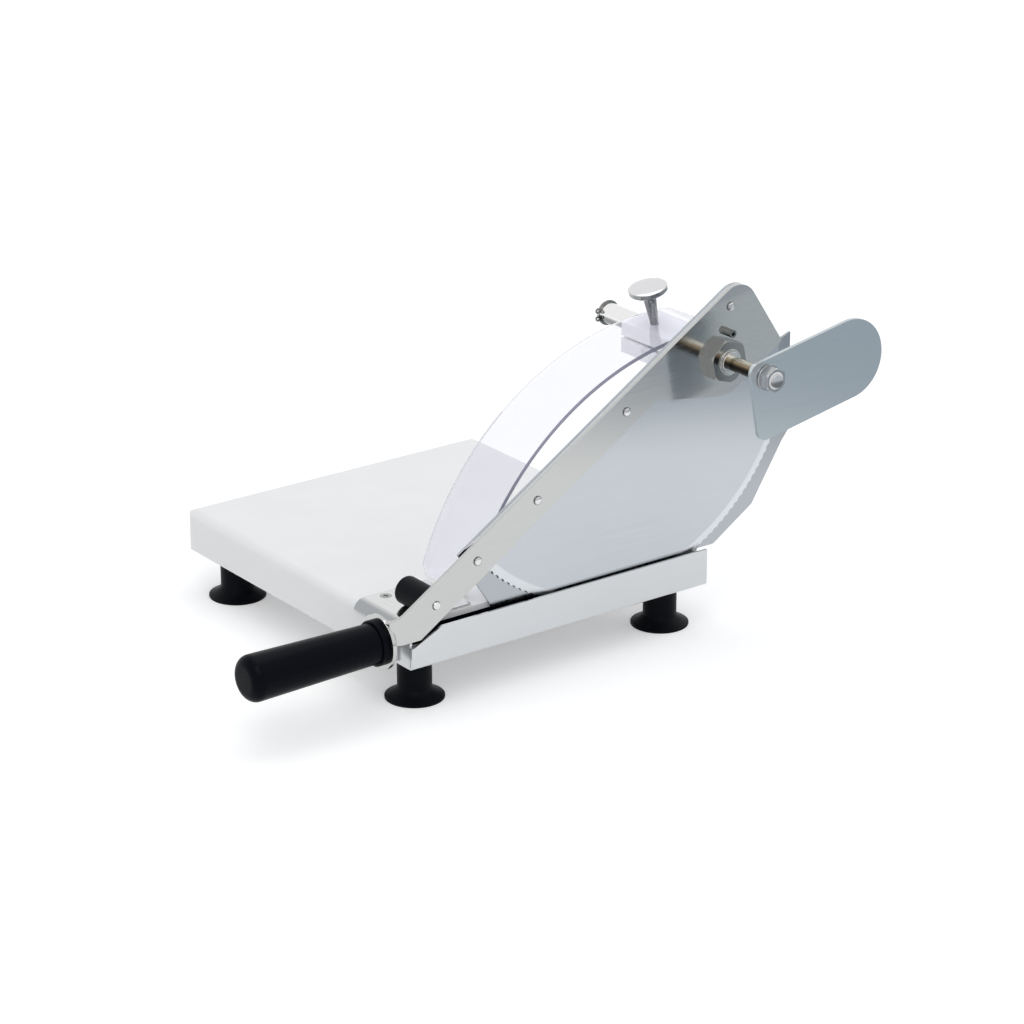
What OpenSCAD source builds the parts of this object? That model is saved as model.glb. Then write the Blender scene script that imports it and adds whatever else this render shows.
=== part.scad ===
// Hand-operated bread slicer: a toothed half-moon blade on a lever that swings down
// into a slot along the front of a cutting board.
// X runs along the slot, Y from the operator's side to the far side, Z up from the table.

/* [Board] */
// Length of the slot and of the rail in front of it
board_l = 270; // [260:1:285]
// Overhang of the board past the left end of the rail
board_over = 2.5; // [0:0.5:2.5]
// Depth of the board from the slot to the far edge
board_w = 287; // [250:1:310]
// Thickness of the board
board_t = 32; // [30:1:36]
// Radius of the board's edges and rear corners
edge_r = 8; // [5:0.5:10]

/* [Feet] */
// Height of a foot under the board
foot_h = 35; // [30:1:42]
// Diameter of a suction cup at the table
cup_d = 44; // [40:1:50]
// Diameter of a foot's stem
stem_d = 25.5; // [23:0.5:28]
// Distance of the feet from the ends of the board
foot_inset_x = 22; // [20:1:32]
// Distance of the front feet from the front of the rail
foot_inset_y = 28.5; // [26:0.5:36]
// Distance of the rear feet from the rear of the board
foot_inset_rear = 32.5; // [26:0.5:40]

/* [Front rail] */
// Depth of the rail's top below the board's top
rail_drop = 3.5; // [3:0.5:6]
// Thickness of the folded sheet of the rail and the stop plate
sheet_t = 2; // [1.5:0.1:2.2]
// Width of the slot that the blade drops into
slot_w = 8; // [7.5:0.5:10]

/* [Pivot] */
// Distance of the pivot beyond the right end of the board
pivot_out = 11; // [8:1:16]
// Height of the pivot above the board
pivot_h = 144; // [135:1:155]
// Diameter of the thick rear stretch of the shaft
shaft_d = 16.5; // [15:0.5:17.5]
// Diameter of the thin front stretch of the shaft
spindle_d = 11; // [10.5:0.1:12]
// Reach of the shaft behind the blade
shaft_rear = 137; // [132:1:150]

/* [Lever] */
// Distance from the pivot to the upper edge of the arm
arm_rise = 41.3; // [39:0.1:45]
// Width of the arm where it meets the handle
arm_w = 19.5; // [18:0.5:21]
// Thickness of the arm
arm_t = 3; // [2.5:0.5:4]
// Radius of the arm's head around the pivot
head_r = 29; // [27:1:32]
// Length of the grip
grip_l = 107; // [95:1:120]
// Largest diameter of the grip
grip_d = 34.3; // [30:0.1:36]
// Diameter of the bumper under the arm
bumper_d = 21.2; // [18:0.2:24]

/* [Blade] */
// Depth that the teeth reach below the board
blade_dip = 21.5; // [18:0.5:24]
// Distance from the pivot to the centre of the toothed arc
blade_offset = 94; // [88:1:98]
// Thickness of the blade
blade_t = 2; // [1.5:0.1:2.2]
// Spacing of the teeth along the arc
tooth_pitch = 6.2; // [5:0.1:8]
// Depth of a tooth
tooth_depth = 1.5; // [1:0.1:2]
// Width of the ground bevel
bevel_w = 8; // [5:0.5:10]

/* [Blade guard] */
// Width by which the guard covers the teeth
guard_margin = 15; // [12:0.5:17]
// Thickness of the guard
guard_t = 2; // [1.5:0.1:2.2]

/* [Screen] */
// Width of the clear screen
screen_w = 58; // [50:1:60]
// Outer radius of the screen's curve
screen_r = 227; // [220:1:232]
// Thickness of the screen
screen_t = 3; // [2.5:0.5:4]
// Radius of the clamp hub under the screen
hub_r = 14; // [13.5:0.5:15]

/* [Paddle] */
// Length of the paddle
paddle_l = 124; // [100:1:130]
// Width of the paddle
paddle_w = 61.5; // [54:0.5:66]
// Angle of the paddle above level
paddle_tilt = 10.4; // [0:0.1:30]
// Distance of the paddle in front of the blade
paddle_reach = 51; // [45:1:60]

/* [Hidden] */
$fn = 96;

// Clearances: a running fit, a seat between fixed pieces, and a rest gap between moving bodies
run_gap = 0.05;
seat_gap = 0.05;
rest_gap = 0.3;
over = 1;

// Levels
board_z = foot_h;
board_top = board_z + board_t;
board_full_l = board_l + board_over;
stop_top = board_top + sheet_t;

// Layers from the front to the rear: y = 0 is where the arm lies on the blade
guard_y = blade_t + 1;
flange_y = guard_y + guard_t + 0.4;
washer_t = 0.5;
upright_y = flange_y + rest_gap + washer_t;
upright_t = 8;
board_y = upright_y;
board_rear = board_y + board_w;
rail_y = board_y - slot_w - sheet_t;

// Pivot axis
pivot_x = board_l + pivot_out;
pivot_z = board_top + pivot_h;

// The arm slopes so that the bumper rests on the stop plate
bumper_x = 22;
bumper_l = 35;
bumper_bevel = 2;
bumper_v = arm_rise - 8;
bumper_z = stop_top + bumper_d / 2 + rest_gap;
bumper_dist = norm([pivot_x - bumper_x, pivot_z - bumper_z]);
bumper_u = -sqrt(bumper_dist * bumper_dist - bumper_v * bumper_v);
arm_angle = atan2(pivot_z - bumper_z, pivot_x - bumper_x) + asin(bumper_v / bumper_dist);

// Arm outline in its own frame: u along the arm, v across it, pivot at the origin
arm_end = 49.5;
peak_r = 18;
neck_u = -62;
neck_w = arm_w + 4.3;
neck_point = [neck_u, arm_rise - neck_w];
tail_u = bumper_u - 60;
arm_corner = [arm_end, -head_r];
edge_fall = 1.1;

// Ear: the arm's left end turned towards the rear
bend_r = 11;
ear_x = -15.8;
ear_r = 20.4;
ear_y = 16.5;
ear_drop = 5.6;
bend_x = ear_x + bend_r;
bend_z = pivot_z + ((arm_rise - arm_w / 2) + (bend_x - pivot_x) * sin(arm_angle)) / cos(arm_angle);
ear_z = bend_z - ear_drop;

// Grip
ferrule_l = 5;
ferrule_d = 33.8;
ferrule_bevel = 0.8;
grip_neck_d = 30;
grip_end_r = 8;
bolt_d = 8;
bolt_head_d = 14;
bolt_l = 55;
grip_x = ear_x - ferrule_l;

// Blade and guard arcs
blade_r = pivot_h + blade_dip;
guard_r = blade_r + guard_margin;
arc_centre = [-blade_offset, 0];
arc_centre_v = blade_offset * sin(arm_angle);
tang_u = -blade_offset * cos(arm_angle) - blade_r - 9;
blade_low_v = arm_rise - arm_w + 1;
tooth_steps = 4;
edge_t = 0.3;
guard_lift = 1;
guard_angle = arm_angle - guard_lift;
guard_bottom = -pivot_h - 4;
guard_left_x = (tang_u - guard_bottom * sin(guard_angle)) / cos(guard_angle);
guard_turns = [[-43.5, 0], [-26.5, -2.5]];
horn_w = 13.5;
horn_up = 3.5;
horn_rise = 5;

// Rivets along the arm, given by their distance from the pivot and below the upper edge
rivets = [[27.3, 12.3], [tang_u * 0.342, 10.7], [tang_u * 0.716, 8.2], [tang_u + 8.7, 7.2]];
rivet_d = 4;
rivet_head_d = 7;
rivet_head_h = 1.4;

// Hub
hub_bolt_r = 10;
hub_flange_r = 15;
hub_front = -12.5;
liner_r = 7;
hub_nut_af = 30;
hub_nut_t = 8.5;
pin_d = 4.2;
pin_head_d = 6;
pin_head_h = 6.5;
pin_r = 20.5;
pin_angle = 77;
guard_swing = 40;
guard_slot_w = pin_d + 0.6;

// Shaft lengths
journal_d = 14;
thread_d = 9.8;
paddle_t = 3;
paddle_y = -paddle_reach - paddle_t;
big_washer_r = 10;
big_washer_t = 1.5;
shoulder_y = paddle_y + paddle_t + rest_gap + big_washer_t;
nut_t = 8;
nut_af = 16.5;
nut_ring_r = 6.6;
nut_ring_t = 2;
nut_y = paddle_y - rest_gap - big_washer_t - nut_t;
ring_groove_d = 9.8;
ring_t = 1.2;
ring_y = hub_front - rest_gap - ring_t;
shaft_front = nut_y - 2;
circlip_y = shaft_rear - 5;
circlip_groove_r = shaft_d / 2 - 0.45;

// Screen
screen_y = upright_y + upright_t + 4.5;
carrier_r = 10;
carrier_flange_t = 1.2;
carrier_flange_r = 12.5;
carrier_y = screen_y - rest_gap - carrier_flange_t;
screen_inner_r = screen_r - screen_t;
screen_cz = pivot_z + hub_r + seat_gap - screen_inner_r;
screen_low = stop_top + 1;
screen_left = acos((screen_low - screen_cz) / screen_r);
screen_right = 1.5;
curl_r = 42;
curl_angle = 35;
screen_corner_r = 8;
knob_place = 4.7;
knob_lean = 13.5;
knob_y = screen_y + 35;
stud_r = 3;
lug_l = 31;
lug_h = 11;
slit_h = 2;

// Knob, measured outwards from the screen's curve
knob_head_r = 14.7;
knob_head_t = 4;
knob_dome = 1.5;
knob_neck = 26;
neck_r = 5.6;
stud_depth = 24;

// Paddle outline
paddle_back = 15;
paddle_above = 13.7;
paddle_corner_r = 8;

// Upright
upright_head_r = 17;
upright_foot_w = 44;
upright_foot_x = board_l - upright_foot_w - 4;
pocket_z = board_z + 8;
upright_screw_d = 6;
upright_screw_l = 35;

// Rail and stop plate
rail_h = board_t - rail_drop;
return_l = 17.5;
rail_cut_l = 27;
arm_low_z = pivot_z + (arm_rise - arm_w - pivot_x * sin(arm_angle)) / cos(arm_angle);
cut_h = arm_low_z - 0.8 - board_z;
trim_z = arm_low_z + 5;
return_h = trim_z - over - board_z;
right_return_h = rail_h - 5.5;
rail_flange_w = 36;
rail_screw_d = 4;
rail_screw_in = 12;
rail_screw_y = board_y + rail_screw_in;
flange_seat = rail_y + rail_flange_w - board_y + seat_gap;
return_seat = rail_y + return_l - board_y + seat_gap;
seam = 0.4;
strip_x = 6;
strip_l = upright_foot_x - 2 - strip_x;
strip_h = 12.5;
strip_t = 1.5;
strip_z = board_top - 4.5 - strip_h;
stop_l = 60;
stop_w = 55;
stop_y = board_y + 1.5;
stop_lip = 2.5;
stop_screw_x = 18.5;
stop_screw_d = 4.5;

// Feet
cup_h = 8.5;
cup_neck_h = 6;
cup_rim_h = 1.5;
cup_rim_w = 4;
cup_hollow = 4;
stem_bore_d = 12;
foot_screw_d = 5;
foot_screw_head_d = 9;
foot_screw_head_h = 4;
foot_screw_grip = 18;
foot_web = 6;
foot_front_y = rail_y + foot_inset_y;
foot_rear_y = board_rear - foot_inset_rear;

// The origin is under the middle of the whole slicer
grip_end_x = grip_x - grip_l;
paddle_tip_r = paddle_w / 2;
paddle_tip_u = paddle_l - paddle_back - paddle_tip_r;
paddle_tip_v = paddle_above - paddle_tip_r;
paddle_right_x = pivot_x + paddle_tip_u * cos(paddle_tilt) - paddle_tip_v * sin(paddle_tilt) + paddle_tip_r;
mid_x = (grip_end_x + paddle_right_x) / 2;
mid_y = (shaft_front + board_rear) / 2;

// Points along an arc
function arc(centre, r, a0, a1, n) =
    [for (i = [0:n]) centre + r * [cos(a0 + (a1 - a0) * i / n), sin(a0 + (a1 - a0) * i / n)]];

// Where a straight line from a point touches a circle; side is 1 or -1
function touch_angle(point, centre, r, side) =
    atan2(point[1] - centre[1], point[0] - centre[0]) + side * acos(r / norm(point - centre));

function turned(p, a) = [p[0] * cos(a) - p[1] * sin(a), p[0] * sin(a) + p[1] * cos(a)];

// From the arm's own frame to upright axes with the pivot at the origin
function level(p) = turned(p, arm_angle);

function reversed(points) = [for (i = [len(points) - 1:-1:0]) points[i]];

function level_all(points) = [for (p = points) level(p)];

// Whole slicer to its origin
module placed() translate([-mid_x, -mid_y, 0]) children();

// A plate standing in the XZ plane, from y to y + t, drawn with the pivot at the origin
module pivot_plate(y, t)
    translate([pivot_x, y + t, pivot_z])
        rotate([90, 0, 0])
            linear_extrude(t)
                children();

// A solid of revolution along Y through x, z, with its own z turned to +Y
module along_y(x, z)
    translate([x, 0, z])
        rotate([-90, 0, 0])
            children();

module pivot_axis() along_y(pivot_x, pivot_z) children();

// A point given in the arm's frame, as an axis along Y
module arm_axis(u, v)
    along_y(pivot_x + level([u, v])[0], pivot_z + level([u, v])[1])
        children();

module tube(r, hole_r, z0, z1)
    translate([0, 0, z0])
        difference() {
            cylinder(r = r, h = z1 - z0);
            translate([0, 0, -over]) cylinder(r = hole_r, h = z1 - z0 + 2 * over);
        }

module rod(r, z0, z1)
    translate([0, 0, z0])
        cylinder(r = r, h = z1 - z0);

// Countersunk screw with its flat head at z = 0, pointing along +Z
module countersunk_screw(d, length, extra = 0) {
    cylinder(r1 = d + extra, r2 = d / 2 + extra, h = d / 2);
    cylinder(d = d + 2 * extra, h = length + extra);
}

module cross_recess(d)
    for (a = [0, 90])
        rotate([0, 0, a])
            translate([-d * 0.55, -d * 0.1, -over])
                cube([d * 1.1, d * 0.2, over + d * 0.25]);

// Hexagon nut bevelled at its front; turn is the angle of its corners
module hex_nut(af, t, hole_r, z0, turn)
    translate([0, 0, z0])
        difference() {
            intersection() {
                rotate([0, 0, turn]) cylinder(d = af / cos(30), h = t, $fn = 6);
                cylinder(r1 = af * 0.53, r2 = af * 0.53 + t, h = t);
            }
            translate([0, 0, -over]) cylinder(r = hole_r, h = t + 2 * over);
        }

module rounded_square(size, r) {
    translate([r, 0]) square([size[0] - 2 * r, size[1]]);
    translate([0, r]) square([size[0], size[1] - 2 * r]);
    for (x = [r, size[0] - r], y = [r, size[1] - r])
        translate([x, y]) circle(r);
}

// Base

// Outline of the board from the front, rounded at the top of both ends
module board_front_view() {
    square([board_full_l, board_t - edge_r]);
    translate([edge_r, 0]) square([board_full_l - 2 * edge_r, board_t]);
    for (x = [edge_r, board_full_l - edge_r])
        translate([x, board_t - edge_r]) circle(edge_r);
}

// Section of the board from front to rear, rounded at the rear edge only
module board_side_view() {
    square([board_w, board_t - edge_r]);
    square([board_w - edge_r, board_t]);
    translate([board_w - edge_r, board_t - edge_r]) circle(edge_r);
}

module board_plan() {
    square([board_full_l, board_w - edge_r]);
    translate([edge_r, 0]) square([board_full_l - 2 * edge_r, board_w]);
    for (x = [edge_r, board_full_l - edge_r])
        translate([x, board_w - edge_r]) circle(edge_r);
}

module board_block()
    translate([-board_over, board_y, board_z])
        intersection() {
            linear_extrude(board_t) board_plan();
            translate([0, board_w, 0]) rotate([90, 0, 0]) linear_extrude(board_w) board_front_view();
            rotate([90, 0, 90]) linear_extrude(board_full_l) board_side_view();
        }

module board()
    color("white")
        placed()
            difference() {
                board_block();
                // seats of the rail's flange and of its two folded ends
                translate([-board_over - over, board_y - over, board_z - over])
                    cube([board_full_l + 2 * over, flange_seat + over, sheet_t + over]);
                for (x = [-board_over - over, board_l - sheet_t - seat_gap])
                    translate([x, board_y - over, board_z - over])
                        cube([board_over + sheet_t + over + seat_gap, return_seat + over, rail_h + over]);
                // groove of the strip in the slot
                translate([strip_x - seat_gap, board_y - over, strip_z - seat_gap])
                    cube([strip_l + 2 * seat_gap, strip_t + over + seat_gap, strip_h + 2 * seat_gap]);
                // pocket of the upright
                translate([upright_foot_x - seat_gap, board_y - over, pocket_z])
                    cube([upright_foot_w + 2 * seat_gap, upright_t + over + seat_gap, board_t]);
                screw_places() rod(foot_screw_d / 2, -over, foot_screw_grip);
                rail_screw_places() countersunk_screw(rail_screw_d, foot_screw_grip, seat_gap);
                stop_screw_places() countersunk_screw(stop_screw_d, foot_screw_grip, seat_gap);
                upright_screw_places() countersunk_screw(upright_screw_d, upright_screw_l, seat_gap);
            }

module screw_places()
    for (x = [foot_inset_x, board_l - foot_inset_x], y = [foot_front_y, foot_rear_y])
        translate([x, y, board_z]) children();

module rail_screw_places()
    for (part = [0.25, 0.5, 0.75])
        translate([foot_inset_x + (board_l - 2 * foot_inset_x) * part, rail_screw_y, board_z])
            children();

module stop_screw_places()
    for (y = [stop_y + 11, stop_y + stop_w - 8])
        translate([stop_screw_x, y, stop_top]) rotate([180, 0, 0]) children();

module upright_screw_places()
    for (x = [upright_foot_w * 0.2, upright_foot_w * 0.8])
        translate([upright_foot_x + x, upright_y, board_z + board_t * 0.62]) rotate([-90, 0, 0]) children();

// Front wall of the rail with its corner cut away below the arm
module rail_front_view()
    polygon([[0, 0], [board_l, 0], [board_l, rail_h], [rail_cut_l, rail_h], [0, cut_h]]);

module rail_section() {
    translate([0, sheet_t]) square([sheet_t, rail_h - sheet_t]);
    translate([sheet_t, 0]) square([rail_flange_w - sheet_t, sheet_t]);
    translate([sheet_t, sheet_t])
        intersection() {
            circle(sheet_t);
            translate([-sheet_t, -sheet_t]) square(sheet_t);
        }
}

module front_rail()
    color("gainsboro")
        placed()
            difference() {
                union() {
                    intersection() {
                        translate([0, rail_y, board_z])
                            rotate([90, 0, 90]) linear_extrude(board_l) rail_section();
                        translate([0, rail_y + rail_flange_w, board_z])
                            rotate([90, 0, 0]) linear_extrude(rail_flange_w) rail_front_view();
                    }
                    rail_return(0, return_h);
                    rail_return(board_l - sheet_t, right_return_h);
                }
                screw_places() rod(foot_screw_d / 2 + seat_gap, -over, sheet_t + over);
                rail_screw_places() countersunk_screw(rail_screw_d, foot_screw_grip, seat_gap);
            }

// End of the rail, folded up from the flange and leaving a seam at the front wall
module rail_return(x, h)
    translate([x, rail_y + sheet_t + seam, board_z])
        cube([sheet_t, return_l - sheet_t - seam, h]);

// Dark strip let into the board's front edge, along the slot
module slot_strip()
    color("black")
        placed()
            translate([strip_x, board_y, strip_z]) cube([strip_l, strip_t, strip_h]);

module rail_screws()
    color("silver")
        placed()
            rail_screw_places() countersunk_screw(rail_screw_d, foot_screw_grip - over);

// Stop plate, lying on the board and turned down over its rounded left edge
module stop_section() {
    translate([edge_r, 0]) square([stop_l + board_over - edge_r, sheet_t]);
    translate([edge_r, -edge_r])
        intersection() {
            difference() {
                circle(edge_r + sheet_t);
                circle(edge_r);
            }
            translate([-edge_r - sheet_t, stop_lip]) square(edge_r + sheet_t);
        }
}

module stop_plate()
    color("silver")
        placed()
            difference() {
                translate([-board_over, stop_y + stop_w, board_top])
                    rotate([90, 0, 0]) linear_extrude(stop_w) stop_section();
                stop_screw_places()
                    translate([0, 0, -seat_gap]) countersunk_screw(stop_screw_d, foot_screw_grip, seat_gap);
            }

module stop_plate_screws()
    color("lightgray")
        placed()
            stop_screw_places()
                difference() {
                    countersunk_screw(stop_screw_d, foot_screw_grip - over);
                    cross_recess(stop_screw_d);
                }

module foot_at(x, y) placed() translate([x, y, 0]) children();

module foot_stem_body()
    color("black")
        difference() {
            rod(stem_d / 2, cup_h, foot_h);
            rod(stem_bore_d / 2, cup_h - over, foot_h - foot_web);
            rod(foot_screw_d / 2 + seat_gap, cup_h, foot_h + over);
        }

// Rubber cup: a spigot in the stem, a neck and a hollow flared skirt with a flat rim
module suction_cup_body()
    color("dimgray")
        rotate_extrude()
            polygon(concat(
                [[0, cup_h + cup_neck_h], [stem_bore_d / 2 - seat_gap, cup_h + cup_neck_h],
                 [stem_bore_d / 2 - seat_gap, cup_h], [stem_d / 2, cup_h]],
                [for (i = [1:8]) cup_flare(i / 8)],
                [[cup_d / 2, 0], [cup_d / 2 - cup_rim_w, 0]],
                [for (i = [1:6]) [(cup_d / 2 - cup_rim_w) * cos(15 * i), cup_hollow * sin(15 * i)]]
            ));

// Outer curve of the skirt, from the stem at 0 to the rim at 1
function cup_flare(f) =
    [stem_d / 2 + (cup_d - stem_d) / 2 * pow(f, 1.5), cup_h - (cup_h - cup_rim_h) * pow(f, 0.9)];

module foot_stem_front_left() foot_at(foot_inset_x, foot_front_y) foot_stem_body();
module foot_stem_front_right() foot_at(board_l - foot_inset_x, foot_front_y) foot_stem_body();
module foot_stem_rear_left() foot_at(foot_inset_x, foot_rear_y) foot_stem_body();
module foot_stem_rear_right() foot_at(board_l - foot_inset_x, foot_rear_y) foot_stem_body();
module suction_cup_front_left() foot_at(foot_inset_x, foot_front_y) suction_cup_body();
module suction_cup_front_right() foot_at(board_l - foot_inset_x, foot_front_y) suction_cup_body();
module suction_cup_rear_left() foot_at(foot_inset_x, foot_rear_y) suction_cup_body();
module suction_cup_rear_right() foot_at(board_l - foot_inset_x, foot_rear_y) suction_cup_body();

module foot_screws()
    color("silver")
        placed()
            screw_places() {
                rod(foot_screw_d / 2 - seat_gap, -foot_web, foot_screw_grip - over);
                rod(foot_screw_head_d / 2, -foot_web - foot_screw_head_h, -foot_web);
            }

// Upright: a plate let into the board, tapering up to a round head on the shaft
module upright_outline() {
    foot = [upright_foot_x - pivot_x, pocket_z - pivot_z];
    knee = [foot[0], board_top + 12 - pivot_z];
    far_knee = [foot[0] + upright_foot_w, knee[1]];
    left = touch_angle(knee, [0, 0], upright_head_r, -1);
    right = touch_angle(far_knee, [0, 0], upright_head_r, 1);
    polygon(concat(
        [foot, [foot[0] + upright_foot_w, foot[1]], far_knee],
        arc([0, 0], upright_head_r, right, left + 360, 32),
        [knee]
    ));
}

module upright()
    color("silver")
        placed()
            difference() {
                pivot_plate(upright_y, upright_t) upright_outline();
                pivot_axis() rod(journal_d / 2 + seat_gap, upright_y - over, upright_y + upright_t + over);
                upright_screw_places()
                    translate([0, 0, -seat_gap])
                        countersunk_screw(upright_screw_d, upright_screw_l, seat_gap);
            }

module upright_screws()
    color("gray")
        placed()
            upright_screw_places() countersunk_screw(upright_screw_d, upright_screw_l - over);

// Stepped shaft: thick at the rear, a journal in the upright, a thin spindle and a thread in front
module pivot_shaft()
    color("silver")
        placed()
            pivot_axis()
                difference() {
                    union() {
                        rod(shaft_d / 2, upright_y + upright_t, shaft_rear - over);
                        translate([0, 0, shaft_rear - over])
                            cylinder(r1 = shaft_d / 2, r2 = shaft_d / 2 - over, h = over);
                        rod(journal_d / 2, upright_y, upright_y + upright_t);
                        rod(spindle_d / 2, shoulder_y, upright_y);
                        rod(thread_d / 2, shaft_front, shoulder_y);
                    }
                    tube(shaft_d, circlip_groove_r, circlip_y, circlip_y + ring_t + 2 * seat_gap);
                    tube(spindle_d, ring_groove_d / 2, ring_y - seat_gap, ring_y + ring_t + seat_gap);
                }

// External circlip with two eyed lugs at its gap
module shaft_circlip()
    color("dimgray")
        placed()
            pivot_axis()
                translate([0, 0, circlip_y + seat_gap])
                    linear_extrude(ring_t)
                        difference() {
                            union() {
                                circle(shaft_d / 2 + 1.6);
                                for (side = [-1, 1])
                                    rotate(180 + side * 17) translate([shaft_d / 2 + 2, 0]) circle(2.3);
                            }
                            circle(circlip_groove_r + seat_gap);
                            translate([-shaft_d * 1.5, -1.2]) square([shaft_d * 1.5, 2.4]);
                            for (side = [-1, 1])
                                rotate(180 + side * 17) translate([shaft_d / 2 + 2.3, 0]) circle(0.9);
                        }

module shaft_front_ring()
    color("dimgray")
        placed()
            pivot_axis()
                tube(spindle_d / 2 + 2.5, ring_groove_d / 2 + seat_gap, ring_y, ring_y + ring_t);

module thrust_washer()
    color("gainsboro")
        placed()
            pivot_axis() tube(hub_flange_r - 2, spindle_d / 2 + seat_gap, upright_y - washer_t, upright_y);

module paddle_washer_rear()
    color("gainsboro")
        placed()
            pivot_axis() tube(big_washer_r, thread_d / 2 + seat_gap, shoulder_y - big_washer_t, shoulder_y);

module paddle_washer_front()
    color("gainsboro")
        placed()
            pivot_axis()
                tube(big_washer_r, thread_d / 2 + seat_gap, nut_y + nut_t, nut_y + nut_t + big_washer_t);

module paddle_nut()
    color("silver")
        placed()
            pivot_axis()
                difference() {
                    hex_nut(nut_af, nut_t, thread_d / 2 + seat_gap, nut_y, 30);
                    rod(nut_ring_r + seat_gap, nut_y - over, nut_y + nut_ring_t);
                }

module paddle_nut_ring()
    color("lightgray")
        placed()
            pivot_axis() tube(nut_ring_r, thread_d / 2 + seat_gap, nut_y, nut_y + nut_ring_t);

// Lever

// Straight upper edge that sinks a little towards the peak
function edge_v(u) = arm_rise - u * tan(edge_fall);

// Rounded peak and square right end, shared by the arm, the blade and the guard
function peak_points() = concat(
    arc([arm_end - peak_r, edge_v(arm_end - peak_r) - peak_r], peak_r, 90, 0, 8),
    [arm_corner]
);

module arm_outline() {
    heel = touch_angle(neck_point, [0, 0], head_r, 1);
    polygon(level_all(concat(
        [[tail_u, edge_v(tail_u)]],
        peak_points(),
        arc([0, 0], head_r, 270, heel, 6),
        [neck_point, [tail_u, arm_rise - arm_w]]
    )));
}

module arm()
    color("silver")
        placed()
            difference() {
                union() {
                    difference() {
                        intersection() {
                            linear_extrude(2 * pivot_z) arm_fold();
                            pivot_plate(-arm_t - over, ear_y + arm_t + 2 * over) arm_outline();
                        }
                        // the plate and its bend stop above the folded end of the rail
                        translate([2 * ear_x, -arm_t - over, 0])
                            cube([rail_cut_l - 2 * ear_x, bend_r + 1.5 * over, trim_z]);
                    }
                    translate([ear_x, ear_y, ear_z]) rotate([0, 90, 0]) cylinder(r = ear_r, h = arm_t);
                }
                pivot_axis() rod(hub_bolt_r + seat_gap, -arm_t - over, over);
                arm_holes(-arm_t - over, over);
                ear_hole();
            }

// The arm from above: a straight plate, a bend and the ear
module arm_fold() {
    bend = [bend_x, bend_r - arm_t];
    right = pivot_x + 2 * arm_end;
    polygon(concat(
        [[right, -arm_t]],
        arc(bend, bend_r, 270, 180, 12),
        [[ear_x, ear_y], [ear_x + arm_t, ear_y]],
        arc(bend, bend_r - arm_t, 180, 270, 12),
        [[right, 0]]
    ));
}

// Axis of the grip, running to -X from a point x
module grip_axis(x)
    translate([x, ear_y, ear_z])
        rotate([0, -90, 0])
            children();

module ear_hole()
    grip_axis(ear_x + arm_t + seat_gap)
        cylinder(r1 = bolt_head_d / 2 + seat_gap, r2 = bolt_d / 2 + seat_gap, h = arm_t + 3 * seat_gap);

module arm_holes(y0, y1) {
    for (r = rivets)
        arm_axis(r[0], arm_rise - r[1]) rod(rivet_d / 2 + seat_gap, y0, y1);
    arm_axis(bumper_u, bumper_v) rod(rivet_d / 2 + seat_gap, y0, y1);
    pin_axis() rod(pin_d / 2 + seat_gap, y0, y1);
}

module pin_axis()
    along_y(pivot_x + pin_r * cos(pin_angle), pivot_z + pin_r * sin(pin_angle))
        children();

// One tooth: a hollow between two points, f runs from 0 to 1
function tooth_drop(f) = tooth_depth * (1 - pow(2 * f - 1, 2));

function toothed_arc(a0, a1) =
    let (count = round(blade_r * abs(a1 - a0) * PI / 180 / tooth_pitch))
    [for (i = [0:count * tooth_steps])
        let (
            a = a0 + (a1 - a0) * i / (count * tooth_steps),
            f = i / tooth_steps - floor(i / tooth_steps)
        )
        arc_centre + (blade_r - tooth_drop(f)) * [cos(a), sin(a)]];

module blade_outline() {
    right_a = -acos((level(arm_corner)[0] - arc_centre[0]) / blade_r);
    left_a = arm_angle - 180 + asin((arc_centre_v - blade_low_v) / blade_r);
    polygon(concat(
        level_all(concat([[tang_u, edge_v(tang_u)]], peak_points())),
        toothed_arc(right_a, left_a),
        level_all([[tang_u, blade_low_v]])
    ));
}

module blade()
    color("lightgray")
        placed()
            difference() {
                intersection() {
                    pivot_plate(0, blade_t) blade_outline();
                    // ground bevel: a shallow cone around the centre of the toothed arc
                    along_y(pivot_x + arc_centre[0], pivot_z + arc_centre[1]) {
                        cylinder(r1 = blade_r - bevel_w, r2 = blade_r + over, h = blade_t - edge_t);
                        rod(blade_r + over, blade_t - edge_t, blade_t);
                    }
                }
                pivot_axis() rod(hub_bolt_r + seat_gap, -over, blade_t + over);
                arm_holes(-over, blade_t + over);
            }

module blade_rivets()
    color("gainsboro")
        placed()
            for (r = rivets)
                arm_axis(r[0], arm_rise - r[1]) {
                    rod(rivet_d / 2, -arm_t, blade_t);
                    rivet_head();
                }

module rivet_head()
    translate([0, 0, -arm_t])
        mirror([0, 0, 1])
            cylinder(r1 = rivet_head_d / 2, r2 = rivet_head_d / 2 - 1, h = rivet_head_h);

module hub_bush()
    color("gray")
        placed()
            pivot_axis()
                difference() {
                    union() {
                        rod(hub_bolt_r, hub_front, blade_t);
                        rod(hub_flange_r, blade_t, flange_y);
                    }
                    rod(liner_r + seat_gap, hub_front - over, flange_y + over);
                }

module hub_liner()
    color("peru")
        placed()
            pivot_axis() tube(liner_r, spindle_d / 2 + run_gap, hub_front, flange_y);

module hub_nut()
    color("gainsboro")
        placed()
            pivot_axis() hex_nut(hub_nut_af, hub_nut_t, hub_bolt_r + seat_gap, -arm_t - hub_nut_t, 17);

// Socket screw whose tip runs in the guard's curved slot
module guard_pin()
    color("black")
        placed()
            pin_axis()
                difference() {
                    union() {
                        rod(pin_d / 2, -arm_t, flange_y);
                        rod(pin_head_d / 2, -arm_t - pin_head_h, -arm_t);
                    }
                    translate([0, 0, -arm_t - pin_head_h - over])
                        cylinder(d = pin_head_d * 0.55, h = pin_head_h / 2 + over, $fn = 6);
                }

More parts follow.
